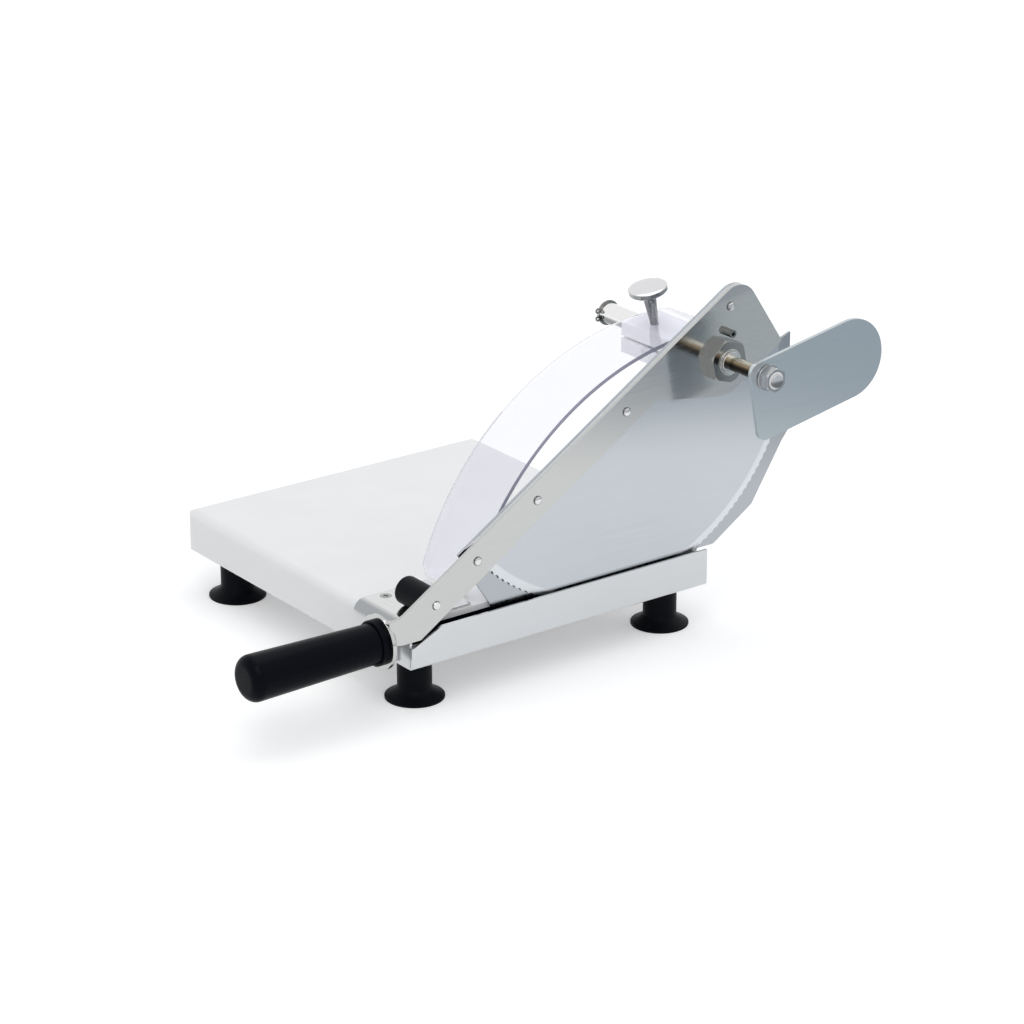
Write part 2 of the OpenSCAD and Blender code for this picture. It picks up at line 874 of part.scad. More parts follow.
module bumper()
    color("black")
        placed()
            arm_axis(bumper_u, bumper_v)
                difference() {
                    union() {
                        rod(bumper_d / 2, 0, bumper_l - bumper_bevel);
                        translate([0, 0, bumper_l - bumper_bevel])
                            cylinder(r1 = bumper_d / 2, r2 = bumper_d / 2 - bumper_bevel, h = bumper_bevel);
                    }
                    rod(rivet_d / 2 + seat_gap, -over, bumper_l / 2 + 1);
                }

module bumper_screw()
    color("gainsboro")
        placed()
            arm_axis(bumper_u, bumper_v) {
                rod(rivet_d / 2, -arm_t, bumper_l / 2);
                rivet_head();
            }

// Grip, swelling towards its rounded outer end
module grip()
    color("black")
        placed()
            grip_axis(grip_x)
                difference() {
                    rotate_extrude() grip_section();
                    rod(bolt_d / 2 + seat_gap, -over, bolt_l);
                }

module grip_section() {
    r = grip_d / 2;
    polygon([[0, 0], [grip_neck_d / 2, 0], [r, grip_l - grip_end_r], [0, grip_l - grip_end_r]]);
    translate([r - grip_end_r, grip_l - grip_end_r]) circle(grip_end_r);
    square([r - grip_end_r, grip_l]);
}

module ferrule_section() {
    r = ferrule_d / 2;
    polygon([[0, 0], [r, 0], [r, ferrule_l - ferrule_bevel], [r - ferrule_bevel, ferrule_l], [0, ferrule_l]]);
}

module grip_ferrule()
    color("dimgray")
        placed()
            grip_axis(ear_x)
                difference() {
                    rotate_extrude() ferrule_section();
                    rod(bolt_d / 2 + seat_gap, -over, ferrule_l + over);
                }

module grip_bolt()
    color("silver")
        placed()
            grip_axis(ear_x + arm_t) {
                cylinder(r1 = bolt_head_d / 2, r2 = bolt_d / 2, h = arm_t);
                rod(bolt_d / 2, arm_t, arm_t + ferrule_l + bolt_l - over);
            }

// Blade guard: a larger half moon that turns on the hub flange behind the blade

module guard_outline() {
    corner = turned(arm_corner, guard_angle);
    horn = [corner[0] + horn_w, corner[1] + horn_up];
    turns = [for (t = guard_turns) arc_centre + (guard_r + t[1]) * [cos(t[0]), sin(t[0])]];
    polygon(concat(
        [for (p = peak_points()) turned(p, guard_angle)],
        [[corner[0], horn[1] - horn_rise], horn, [horn[0], turns[1][1] + horn_w / 2]],
        reversed(turns),
        [[0, guard_bottom], [guard_left_x, guard_bottom], turned([tang_u, arm_rise], guard_angle)]
    ));
}

module blade_guard()
    color("darkgray")
        placed()
            difference() {
                pivot_plate(guard_y, guard_t) guard_outline();
                pivot_axis() rod(hub_flange_r + run_gap, guard_y - over, guard_y + guard_t + over);
                guard_slot();
            }

// Curved slot that lets the guard stay on the loaf while the blade goes on down
module guard_slot() {
    start = -pin_angle - guard_swing;
    pivot_axis()
        rotate([0, 0, start])
            rotate_extrude(angle = guard_swing)
                translate([pin_r - guard_slot_w / 2, guard_y - over])
                    square([guard_slot_w, guard_t + 2 * over]);
    for (a = [0, guard_swing])
        along_y(pivot_x + pin_r * cos(pin_angle + a), pivot_z + pin_r * sin(pin_angle + a))
            rod(guard_slot_w / 2, guard_y - over, guard_y + guard_t + over);
}

// Screen

module screen_carrier()
    color("whitesmoke")
        placed()
            pivot_axis() {
                tube(carrier_r, shaft_d / 2 + run_gap, carrier_y, screen_y + screen_w);
                tube(carrier_flange_r, shaft_d / 2 + run_gap, carrier_y, carrier_y + carrier_flange_t);
            }

// Frame of the screen's curve: x outwards, y back along the sheet, z along +Y, at an angle left of the top
module screen_frame(left)
    along_y(pivot_x, screen_cz)
        rotate([0, 0, -90 - left])
            children();

// Axis of the clamp knob, leaning to the left, with its own z at 0 on the screen's outer face
module knob_axis()
    translate([pivot_x - screen_r * sin(knob_place), knob_y, screen_cz + screen_r * cos(knob_place)])
        rotate([0, -knob_lean, 0])
            children();

module screen_hub()
    color("whitesmoke")
        placed()
            difference() {
                union() {
                    pivot_axis() rod(hub_r, screen_y, screen_y + screen_w);
                    intersection() {
                        translate([pivot_x - lug_l, screen_y, pivot_z - lug_h])
                            cube([lug_l, screen_w, lug_h + hub_r]);
                        along_y(pivot_x, screen_cz)
                            rod(screen_inner_r - seat_gap, screen_y, screen_y + screen_w);
                    }
                }
                pivot_axis() rod(carrier_r + run_gap, screen_y - over, screen_y + screen_w + over);
                // slit between the jaws of the clamp
                translate([pivot_x - lug_l - over, screen_y - over, pivot_z])
                    cube([lug_l - carrier_r + 2 * over, screen_w + 2 * over, slit_h]);
                knob_axis() rod(stud_r + run_gap, -screen_t - stud_depth - over, over);
            }

module screen_sheet()
    color([0.82, 0.82, 0.95, 0.4])
        placed()
            difference() {
                pivot_plate(screen_y, screen_w) screen_outline();
                screen_frame(screen_left)
                    for (side = [0, 1]) screen_corner(side);
                knob_axis() rod(stud_r + run_gap, -2 * screen_t, screen_t);
            }

// The bent sheet seen along the shaft: a wide curve, then a curl down at the right end
module screen_outline()
    polygon(concat(
        screen_line(0),
        reversed(screen_line(screen_t))
    ));

// One face of the sheet, depth below its outer face
function screen_line(depth) =
    let (
        start = 90 + screen_left,
        turn = 90 - screen_right,
        curve = arc([0, screen_cz - pivot_z], screen_r - depth, start, turn, 64),
        curl_centre = [0, screen_cz - pivot_z] + (screen_r - curl_r) * [cos(turn), sin(turn)]
    )
    concat(curve, arc(curl_centre, curl_r - depth, turn - curl_angle / 8, turn - curl_angle, 7));

// Cutter that rounds one lower corner of the sheet
module screen_corner(side) {
    r = screen_corner_r;
    z = side == 0 ? screen_y : screen_y + screen_w;
    inward = side == 0 ? 1 : -1;
    difference() {
        translate([screen_inner_r - 2 * over, -over, z - (side == 0 ? over : r)])
            cube([screen_t + 4 * over, r + over, r + over]);
        translate([screen_inner_r - 3 * over, r, z + inward * r])
            rotate([0, 90, 0]) cylinder(r = r, h = screen_t + 6 * over);
    }
}

// Clamp knob

module knob_stud()
    color("silver")
        placed()
            knob_axis() {
                rod(stud_r, -screen_t - stud_depth, rest_gap);
                translate([0, 0, rest_gap]) cylinder(r1 = stud_r, r2 = neck_r, h = knob_neck - rest_gap);
            }

// Round head with a bevelled lower edge and a slightly domed top
module knob_head()
    color("gainsboro")
        placed()
            knob_axis()
                translate([0, 0, knob_neck])
                    rotate_extrude()
                        polygon(concat(
                            [[0, 0], [knob_head_r - over, 0], [knob_head_r, over]],
                            [for (i = [0:8]) knob_top(i / 8)]
                        ));

// Curve of the head's top, from its edge at 0 to its middle at 1
function knob_top(f) =
    [knob_head_r * cos(90 * f), knob_head_t + knob_dome * sin(90 * f)];

// Paddle at the front end of the shaft

module paddle_outline()
    rotate(paddle_tilt) {
        translate([-paddle_back, paddle_above - paddle_w])
            rounded_square([paddle_back + paddle_tip_u, paddle_w], paddle_corner_r);
        translate([0, paddle_above - paddle_w]) square([paddle_tip_u, paddle_w]);
        translate([paddle_tip_u, paddle_tip_v]) circle(paddle_tip_r);
    }

module paddle()
    color("silver")
        placed()
            difference() {
                pivot_plate(paddle_y, paddle_t) paddle_outline();
                pivot_axis() rod(thread_d / 2 + run_gap, paddle_y - over, paddle_y + paddle_t + over);
            }

board();
slot_strip();
front_rail();
rail_screws();
stop_plate();
stop_plate_screws();
foot_stem_front_left();
foot_stem_front_right();
foot_stem_rear_left();
foot_stem_rear_right();
suction_cup_front_left();
suction_cup_front_right();
suction_cup_rear_left();
suction_cup_rear_right();
foot_screws();
upright();
upright_screws();
pivot_shaft();
shaft_circlip();
shaft_front_ring();
thrust_washer();
paddle_washer_rear();
paddle_washer_front();
paddle_nut();
paddle_nut_ring();
arm();
blade();
blade_rivets();
hub_bush();
hub_liner();
hub_nut();
guard_pin();
bumper();
bumper_screw();
grip();
grip_ferrule();
grip_bolt();
blade_guard();
screen_carrier();
screen_hub();
screen_sheet();
knob_stud();
knob_head();
paddle();
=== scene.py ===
import math

import bmesh
import bpy
from mathutils import Matrix, Vector


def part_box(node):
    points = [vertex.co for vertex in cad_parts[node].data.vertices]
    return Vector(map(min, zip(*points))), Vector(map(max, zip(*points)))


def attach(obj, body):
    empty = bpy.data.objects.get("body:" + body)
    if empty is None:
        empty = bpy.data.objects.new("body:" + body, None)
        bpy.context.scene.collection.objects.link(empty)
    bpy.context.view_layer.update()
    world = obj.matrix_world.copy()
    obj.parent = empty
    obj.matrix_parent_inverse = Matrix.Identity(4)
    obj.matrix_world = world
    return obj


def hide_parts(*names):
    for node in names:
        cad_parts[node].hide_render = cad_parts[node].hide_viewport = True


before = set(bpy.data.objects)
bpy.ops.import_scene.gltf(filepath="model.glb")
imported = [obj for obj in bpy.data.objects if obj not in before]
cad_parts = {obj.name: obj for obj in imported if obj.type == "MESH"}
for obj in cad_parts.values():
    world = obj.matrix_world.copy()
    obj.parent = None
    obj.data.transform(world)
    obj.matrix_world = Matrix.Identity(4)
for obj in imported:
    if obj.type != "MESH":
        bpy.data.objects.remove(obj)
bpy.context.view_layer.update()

scene = bpy.context.scene
PER_M = 1000.0

# The slicer's own coordinates, in millimetres: x along the slot, y = 0 where the arm lies on the blade
PIVOT_X, PIVOT_Z = 281.0, 211.0
ARM_T, BLADE_T = 3.0, 2.0
ARM_ANGLE = math.radians(33.4346)
ARM_TURN = (0, ARM_ANGLE, 0)
KNOB_LEAN = math.radians(13.5)
KNOB_AXIS = Vector((-math.sin(KNOB_LEAN), 0, math.cos(KNOB_LEAN)))
nut_low, nut_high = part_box("hub_nut")
OFFSET = Vector((
    PIVOT_X / PER_M - (nut_low.x + nut_high.x) / 2,
    -ARM_T / PER_M - nut_high.y,
    PIVOT_Z / PER_M - (nut_low.z + nut_high.z) / 2,
))


def at(x, y, z):
    """A point of the slicer, in metres in the frame's axes."""
    return Vector((x, y, z)) / PER_M - OFFSET


def on_arm(u, v, y):
    """A point given along and across the arm from the pivot."""
    c, s = math.cos(ARM_ANGLE), math.sin(ARM_ANGLE)
    return at(PIVOT_X + u * c - v * s, y, PIVOT_Z + u * s + v * c)


# Camera: angles in radians, place in the slicer's millimetres, focal length in pixels of the picture
YAW, PITCH = 0.63950, 0.37287
CAMERA_AT = at(-1341.14, -1925.50, 1072.54)
FOCAL_PX, PICTURE_PX, SENSOR_MM = 3615.8, 1024, 36


def make_camera():
    forward = Vector((math.sin(YAW) * math.cos(PITCH), math.cos(YAW) * math.cos(PITCH), -math.sin(PITCH)))
    right = Vector((math.cos(YAW), -math.sin(YAW), 0))
    up = right.cross(forward)
    data = bpy.data.cameras.new("camera")
    data.sensor_width = SENSOR_MM
    data.lens = FOCAL_PX * SENSOR_MM / PICTURE_PX
    data.clip_start = 0.05
    data.clip_end = 100
    camera = bpy.data.objects.new("camera", data)
    scene.collection.objects.link(camera)
    axes = Matrix((right, up, -forward)).transposed()
    camera.matrix_world = Matrix.Translation(CAMERA_AT) @ axes.to_4x4()
    scene.camera = camera


make_camera()
scene.view_settings.view_transform = "Standard"


# Shader nodes

def new_node(tree, kind, inputs=None, **settings):
    """Adds a shader node. Inputs, by name or place, are sockets to link or plain values."""
    node = tree.nodes.new("ShaderNode" + kind)
    for option, value in settings.items():
        setattr(node, option, value)
    for key, value in (inputs or {}).items():
        if isinstance(value, bpy.types.NodeSocket):
            tree.links.new(value, node.inputs[key])
        else:
            node.inputs[key].default_value = value
    return node


def mapped(tree, value, start, end, low=0.0, high=1.0, way="LINEAR"):
    """A number that runs from low to high as value runs from start to end."""
    spans = {"Value": value, "From Min": start, "From Max": end, "To Min": low, "To Max": high}
    return new_node(tree, "MapRange", spans, interpolation_type=way).outputs["Result"]


# Usual span of a noise pattern
NOISE_LOW, NOISE_HIGH = 0.3, 0.7


def between(tree, pattern, low, high):
    """A number that runs from low to high over the usual span of a noise pattern."""
    return mapped(tree, pattern, NOISE_LOW, NOISE_HIGH, low, high)


def blended(tree, factor, first, second):
    """A colour between two, each a tuple or a socket."""
    first, second = ((*c, 1) if isinstance(c, tuple) else c for c in (first, second))
    return new_node(tree, "Mix", {0: factor, 6: first, 7: second}, data_type="RGBA").outputs[2]


def mixed(tree, share, first, second):
    """A surface between two."""
    return new_node(tree, "MixShader", {0: share, 1: first, 2: second}).outputs["Shader"]


def reckoned(tree, operation, first, second=0.0):
    return new_node(tree, "Math", {0: first, 1: second}, operation=operation).outputs["Value"]


def own_place(tree):
    """The object's own coordinates, in metres."""
    return new_node(tree, "TexCoord").outputs["Object"]


def noise(tree, scale, detail=3.0, turn=(0, 0, 0)):
    """Noise over the object's own coordinates, with scale in features per metre along each axis."""
    mapping = new_node(tree, "Mapping", {"Vector": own_place(tree), "Rotation": turn, "Scale": scale})
    texture = new_node(tree, "TexNoise", {"Vector": mapping.outputs["Vector"], "Scale": 1, "Detail": detail})
    return texture.outputs["Fac"]


def shade(colour, k):
    return tuple(min(1.0, c * k) for c in colour)


def speckled(tree, pattern, colour, spread):
    """A colour that varies to both sides by a share of itself."""
    return blended(tree, between(tree, pattern, 0, 1), shade(colour, 1 - spread), shade(colour, 1 + spread))


def bump(tree, surface, height, distance):
    node = new_node(tree, "Bump", {"Strength": 1, "Distance": distance, "Height": height})
    tree.links.new(node.outputs["Normal"], surface.inputs["Normal"])


# Kinds of material

def shader(name):
    """A new material with one plain surface."""
    material = bpy.data.materials.new(name)
    material.use_nodes = True
    tree = material.node_tree
    tree.nodes.clear()
    surface = new_node(tree, "BsdfPrincipled")
    new_node(tree, "OutputMaterial", {"Surface": surface.outputs["BSDF"]})
    return material, tree, surface


def surface_of(material):
    return material.node_tree.nodes["Principled BSDF"]


def show(material, result):
    """Makes a shader's result what the material shows."""
    tree = material.node_tree
    tree.links.new(result, tree.nodes["Material Output"].inputs["Surface"])


def steel(name, colour, rough, grain, turn=(0, 0, 0), spread=0.025, relief=0.000004, vary=0.22):
    """Metal with a grain: grain is the noise scale along each axis, small along the brushing."""
    material, tree, surface = shader(name)
    surface.inputs["Metallic"].default_value = 1
    brush = noise(tree, grain, 4, turn)
    cloud = noise(tree, (16, 16, 16))
    streaks = speckled(tree, brush, colour, spread)
    stained = blended(tree, between(tree, cloud, 0, 0.5), streaks, shade(colour, 1 - spread))
    tree.links.new(stained, surface.inputs["Base Color"])
    tree.links.new(between(tree, brush, rough * (1 - vary), rough * (1 + vary)), surface.inputs["Roughness"])
    bump(tree, surface, brush, relief)
    return material


def moulded(name, colour, rough, grain, relief, spread=0.12, level=0.5):
    """Plastic or rubber with a fine moulded grain."""
    material, tree, surface = shader(name)
    surface.inputs["Specular IOR Level"].default_value = level
    fine = noise(tree, (grain, grain, grain))
    cloud = noise(tree, (25, 25, 25))
    tree.links.new(speckled(tree, cloud, colour, spread), surface.inputs["Base Color"])
    tree.links.new(between(tree, fine, rough * 0.85, rough * 1.15), surface.inputs["Roughness"])
    bump(tree, surface, fine, relief)
    return material


ACRYLIC_IOR = 1.49


def acrylic(name, colour, rough):
    """Clear plastic that lets light through to what lies in its shadow."""
    material, tree, surface = shader(name)
    surface.inputs["Transmission Weight"].default_value = 1
    surface.inputs["IOR"].default_value = ACRYLIC_IOR
    cloud = noise(tree, (30, 30, 30), 2)
    tree.links.new(speckled(tree, cloud, colour, 0.01), surface.inputs["Base Color"])
    tree.links.new(between(tree, cloud, rough * 0.6, rough), surface.inputs["Roughness"])
    path = new_node(tree, "LightPath")
    clear = new_node(tree, "BsdfTransparent", {"Color": (*shade(colour, 1.02), 1)})
    show(material, mixed(tree, path.outputs["Is Shadow Ray"], surface.outputs["BSDF"], clear.outputs["BSDF"]))
    return material


def let_through(material, share):
    """Lets a share of what lies behind show through a material."""
    tree = material.node_tree
    clear = new_node(tree, "BsdfTransparent")
    show(material, mixed(tree, share, surface_of(material).outputs["BSDF"], clear.outputs["BSDF"]))


def tint(material, factor, colour):
    """Gives a finish another colour where factor is 0, and leaves its own where factor is 1."""
    base = surface_of(material).inputs["Base Color"]
    own = base.links[0].from_socket
    tree = material.node_tree
    tree.links.new(blended(tree, factor, colour, own), base)


def tint_before(material, axis, start, end, colour):
    """Tints a finish up to start, fading out at end, both in metres along an axis of the frame."""
    tree = material.node_tree
    split = new_node(tree, "SeparateXYZ", {"Vector": own_place(tree)})
    tint(material, mapped(tree, split.outputs[axis], start, end), colour)


# Cosine of the angle to the axis, where the tint of the sides is full and where it ends
SIDE_FULL, SIDE_END = 0.55, 0.9


def tint_sides(material, axis, colour):
    """Tints the faces that look across an axis, such as the rim of a disc."""
    tree = material.node_tree
    normal = new_node(tree, "TexCoord").outputs["Normal"]
    facing = new_node(tree, "VectorMath", {0: normal, 1: axis}, operation="DOT_PRODUCT")
    tint(material, mapped(tree, facing.outputs["Value"], SIDE_FULL, SIDE_END), colour)


# Ground band of the blade: the centre and the radius of the toothed arc, and the width of the band
ARC_X, BLADE_R, GROUND_W, GROUND_FADE = 187.0, 165.5, 7.4, 0.5
GROUND_LINES = 420


def grind_edge(material, colour, rough):
    """Adds the ground band along the teeth, with fine lines across it, to the blade's own finish."""
    tree = material.node_tree
    surface = surface_of(material)
    centre = at(ARC_X, 0, PIVOT_Z)
    out = new_node(tree, "VectorMath", {0: own_place(tree), 1: centre}, operation="SUBTRACT")
    split = new_node(tree, "SeparateXYZ", {"Vector": out.outputs["Vector"]})
    x, z = split.outputs["X"], split.outputs["Z"]
    square = reckoned(tree, "ADD", reckoned(tree, "MULTIPLY", x, x), reckoned(tree, "MULTIPLY", z, z))
    inner = BLADE_R - GROUND_W
    start, end = (inner - GROUND_FADE) / PER_M, (inner + GROUND_FADE) / PER_M
    band = mapped(tree, reckoned(tree, "SQRT", square), start, end, way="SMOOTHSTEP")
    around = new_node(tree, "CombineXYZ", {"X": reckoned(tree, "ARCTAN2", z, x)})
    lines = new_node(tree, "TexNoise", {"Vector": around.outputs[0], "Scale": GROUND_LINES, "Detail": 3})
    ground = speckled(tree, lines.outputs["Fac"], colour, 0.08)
    polished = surface.inputs["Base Color"].links[0].from_socket
    tree.links.new(blended(tree, band, polished, ground), surface.inputs["Base Color"])
    smooth = surface.inputs["Roughness"].links[0].from_socket
    matt = new_node(tree, "Mix", {0: band, 2: smooth, 3: rough})
    tree.links.new(matt.outputs[0], surface.inputs["Roughness"])


# Colours of the shaft: its warm front from the painted shade of the underside up to a painted highlight, its
# bare rear from painted shade below to a painted lit top, and the marks of turning
SHADED_UNDERSIDE, WARM_HALF_SHADE, PAINTED_GLINT = (0.006, 0.005, 0.004), (0.32, 0.25, 0.16), (0.92, 0.88, 0.78)
BARE_SHADED_UNDERSIDE, BARE_LIT_TOP = (0.26, 0.27, 0.27), (0.84, 0.84, 0.84)
TURNING_MARK = (0.5, 0.48, 0.44)
# Where they meet, in millimetres: heights over the axis, then places along the shaft
BROWN_FROM, BROWN_TO, GLINT_TO = 0.8, 3.8, 5.3
BARE_FROM, BARE_TO = -1.5, 1.5
WARM_FROM, WARM_TO = 2.0, 20.0
TIP_FROM, TIP_TO = -52.0, -56.0


def shaft_finish():
    """Turned steel in a warm tone in front of the blade, with painted shade on its lower side and a painted
    highlight along its top.
    """
    material, tree, surface = shader("shaft_steel")
    surface.inputs["Metallic"].default_value = 1
    split = new_node(tree, "SeparateXYZ", {"Vector": own_place(tree)})

    def above(start, end):
        """Rises from 0 to 1 between two heights over the axis, in millimetres."""
        low, high = (at(0, 0, PIVOT_Z + h).z for h in (start, end))
        return mapped(tree, split.outputs["Z"], low, high, way="SMOOTHSTEP")

    def along(start, end):
        """Rises from 0 to 1 between two places along the shaft, in millimetres."""
        near, far = (at(0, y, 0).y for y in (start, end))
        return mapped(tree, split.outputs["Y"], near, far, way="SMOOTHSTEP")

    # painted shade on the underside, fading up to a painted highlight along the top
    under = blended(tree, above(BROWN_FROM, BROWN_TO), SHADED_UNDERSIDE, WARM_HALF_SHADE)
    front = blended(tree, above(BROWN_TO, GLINT_TO), under, PAINTED_GLINT)
    # the bare rear is painted darker below and lighter on top: painted shade and painted light
    rear = blended(tree, above(BARE_FROM, BARE_TO), BARE_SHADED_UNDERSIDE, BARE_LIT_TOP)
    warm_and_shaded = blended(tree, along(WARM_FROM, WARM_TO), front, rear)
    tipped = blended(tree, along(TIP_FROM, TIP_TO), warm_and_shaded, rear)
    turning = noise(tree, (60, 1500, 60))
    marked_and_shaded = blended(tree, between(tree, turning, 0, 0.05), tipped, TURNING_MARK)
    tree.links.new(marked_and_shaded, surface.inputs["Base Color"])
    tree.links.new(between(tree, turning, 0.1, 0.16), surface.inputs["Roughness"])
    bump(tree, surface, turning, 0.000004)
    return material


# Finishes

FINE, EVEN, COARSE = (500, 500, 500), (400, 400, 400), (300, 300, 300)

shaft_steel = shaft_finish()
rail_steel = steel("rail_steel", (0.60, 0.615, 0.63), rough=0.2, grain=(25, 900, 900))
stop_steel = steel("stop_steel", (0.70, 0.705, 0.71), rough=0.16, grain=(700, 30, 700))
arm_steel = steel("arm_steel", (0.535, 0.54, 0.535), rough=0.135, grain=(20, 800, 800), turn=ARM_TURN)
blade_steel = steel("blade_steel", (0.52, 0.55, 0.58), rough=0.16, grain=(20, 700, 700), turn=ARM_TURN)
guard_steel = steel("guard_steel", (0.42, 0.445, 0.47), rough=0.2, grain=(600, 600, 25))
paddle_steel = steel(
    "paddle_steel", (0.555, 0.605, 0.63), rough=0.24, grain=(25, 700, 700),
    spread=0.008, relief=0.000001, vary=0.06,
)
upright_steel = steel("upright_steel", (0.50, 0.51, 0.51), rough=0.25, grain=(600, 600, 30))
bush_steel = steel("bush_steel", (0.58, 0.57, 0.55), rough=0.14, grain=(700, 60, 700))
hub_steel = steel("hub_steel", (0.29, 0.295, 0.29), rough=0.11, grain=COARSE)
nut_steel = steel("nut_steel", (0.38, 0.39, 0.385), rough=0.12, grain=COARSE)
bright_steel = steel("bright_steel", (0.66, 0.66, 0.66), rough=0.14, grain=COARSE)
plated_steel = steel("plated_steel", (0.45, 0.455, 0.465), rough=0.09, grain=COARSE)
rivet_steel = steel("rivet_steel", (0.72, 0.72, 0.72), rough=0.12, grain=COARSE)
knob_steel = steel("knob_steel", (0.72, 0.72, 0.735), rough=0.14, grain=EVEN)
dark_steel = steel("dark_steel", (0.22, 0.23, 0.22), rough=0.2, grain=FINE, spread=0.15)
bronze = steel("bronze", (0.55, 0.40, 0.20), rough=0.3, grain=(500, 80, 500))

white_board = moulded("white_board", (0.86, 0.862, 0.87), 0.42, 900, relief=0.00003, spread=0.012)
white_plastic = moulded("white_plastic", (0.84, 0.84, 0.855), 0.35, 900, relief=0.00002, spread=0.015)
hub_plastic = moulded("hub_plastic", (0.93, 0.93, 0.95), 0.35, 900, relief=0.00002, spread=0.012)
black_rubber = moulded("black_rubber", (0.0028, 0.0036, 0.0056), 0.42, 1100, relief=0.00002, level=0.06)
black_grip = moulded("black_grip", (0.0012, 0.0020, 0.0046), 0.3, 1300, relief=0.000012, level=0.05)
clear_face = acrylic("clear_face", (0.89, 0.89, 0.94), rough=0.02)
clear_edge = moulded("clear_edge", (0.46, 0.45, 0.56), 0.3, 600, relief=0.00001, spread=0.03)
clear_rim = moulded("clear_rim", (0.86, 0.86, 0.9), 0.3, 600, relief=0.00001, spread=0.03)

# The stop plate's left end, the foot of the rivet heads and the rim of the knob are darker: painted shade
STOP_DARK, STOP_LIGHT = at(0.5, 0, 0).x, at(5, 0, 0).x
RIVET_DARK, RIVET_LIGHT = at(0, -3.75, 0).y, at(0, -4.2, 0).y
# painted shade on the stop plate's left end, where its edge wraps round
tint_before(stop_steel, "X", STOP_DARK, STOP_LIGHT, (0.36, 0.375, 0.385))
# painted shade on the side walls at the foot of each rivet head
tint_before(rivet_steel, "Y", RIVET_DARK, RIVET_LIGHT, (0.16, 0.16, 0.16))
# painted shade on the knob's rim, the faces that look sideways
tint_sides(knob_steel, KNOB_AXIS, (0.38, 0.39, 0.385))
grind_edge(blade_steel, (0.66, 0.685, 0.71), rough=0.3)
let_through(clear_rim, 0.7)

FINISH = {
    "board": white_board,
    # the slot strip is a black strip laid in the slot to stand for the shade inside it: painted shade
    "slot_strip": black_grip,
    "front_rail": rail_steel,
    "rail_screws": bright_steel,
    "stop_plate": stop_steel,
    "stop_plate_screws": nut_steel,
    "foot_screws": bright_steel,
    "upright": upright_steel,
    "upright_screws": bright_steel,
    "pivot_shaft": shaft_steel,
    "shaft_circlip": dark_steel,
    "shaft_front_ring": bright_steel,
    "thrust_washer": bright_steel,
    "paddle_washer_rear": bright_steel,
    "paddle_washer_front": plated_steel,
    "paddle_nut": plated_steel,
    "paddle_nut_ring": white_plastic,
    "arm": arm_steel,
    "blade": blade_steel,
    "hub_bush": bush_steel,
    "hub_liner": bronze,
    "hub_nut": hub_steel,
    "guard_pin": dark_steel,
    "bumper": black_rubber,
    "bumper_screw": rivet_steel,
    "grip": black_grip,
    "grip_ferrule": black_grip,
    "grip_bolt": bright_steel,
    "blade_guard": guard_steel,
    "screen_carrier": white_plastic,
    "screen_hub": hub_plastic,
    "screen_sheet": clear_face,
    "blade_rivets": rivet_steel,
    "knob_stud": hub_steel,
    "knob_head": knob_steel,
    "paddle": paddle_steel,
}
for corner in ("front_left", "front_right", "rear_left", "rear_right"):
    FINISH["foot_stem_" + corner] = black_rubber
    FINISH["suction_cup_" + corner] = black_rubber

# Width of the worn edges in millimetres
WORN_EDGE = 0.2
SOFT_EDGE = {
    "board": 0.8, "arm": 0.4, "hub_nut": 0.4, "paddle": 0.4, "blade_guard": 0.3, "grip": 0.6,
    "bumper": 0.6, "screen_hub": 0.8, "upright": 0.6, "knob_head": 0.4, "front_rail": 0.35,
}
NODE_SHARP, EDGE_SHARP, PIECE_SHARP = (math.radians(a) for a in (28, 32, 35))
WELD_GAP = 0.000004


def smoothing_group():
    """Modifier nodes that smooth the curves of a solid and keep its sharp edges."""
    group = bpy.data.node_groups.new("smooth_curves", "GeometryNodeTree")
    for way in ("INPUT", "OUTPUT"):
        group.interface.new_socket("Geometry", in_out=way, socket_type="NodeSocketGeometry")
    start = group.nodes.new("NodeGroupInput")
    plain = group.nodes.new("GeometryNodeRemoveAttribute")
    plain.inputs["Name"].default_value = "custom_normal"
    smooth = group.nodes.new("GeometryNodeSetShadeSmooth")
    smooth.domain = "FACE"
    angle = group.nodes.new("GeometryNodeInputMeshEdgeAngle")
    steep = group.nodes.new("FunctionNodeCompare")
    steep.operation = "GREATER_THAN"
    steep.inputs["B"].default_value = NODE_SHARP
    sharp = group.nodes.new("GeometryNodeSetShadeSmooth")
    sharp.domain = "EDGE"
    sharp.inputs["Shade Smooth"].default_value = False
    end = group.nodes.new("NodeGroupOutput")
    for source, target in ((start, plain), (plain, smooth), (smooth, sharp), (sharp, end)):
        group.links.new(source.outputs["Geometry"], target.inputs["Geometry"])
    group.links.new(angle.outputs["Unsigned Angle"], steep.inputs["A"])
    group.links.new(steep.outputs["Result"], sharp.inputs["Selection"])
    return group


def finish_node(name, material, smoothing):
    """Gives a node its material, smooth curves and slightly broken edges."""
    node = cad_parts[name]
    for slot in node.material_slots:
        slot.material = material
    node.modifiers.new("smooth", "NODES").node_group = smoothing
    node.modifiers.new("weld", "WELD").merge_threshold = WELD_GAP
    edge = node.modifiers.new("edge", "BEVEL")
    edge.width = SOFT_EDGE.get(name, WORN_EDGE) / PER_M
    edge.segments = 2
    edge.limit_method = "ANGLE"
    edge.angle_limit = EDGE_SHARP
    edge.harden_normals = True


smoothing = smoothing_group()
for name, material in FINISH.items():
    finish_node(name, material, smoothing)


# Pieces

def smooth_piece(mesh):
    mesh.shade_smooth()
    mesh.set_sharp_from_angle(angle=PIECE_SHARP)


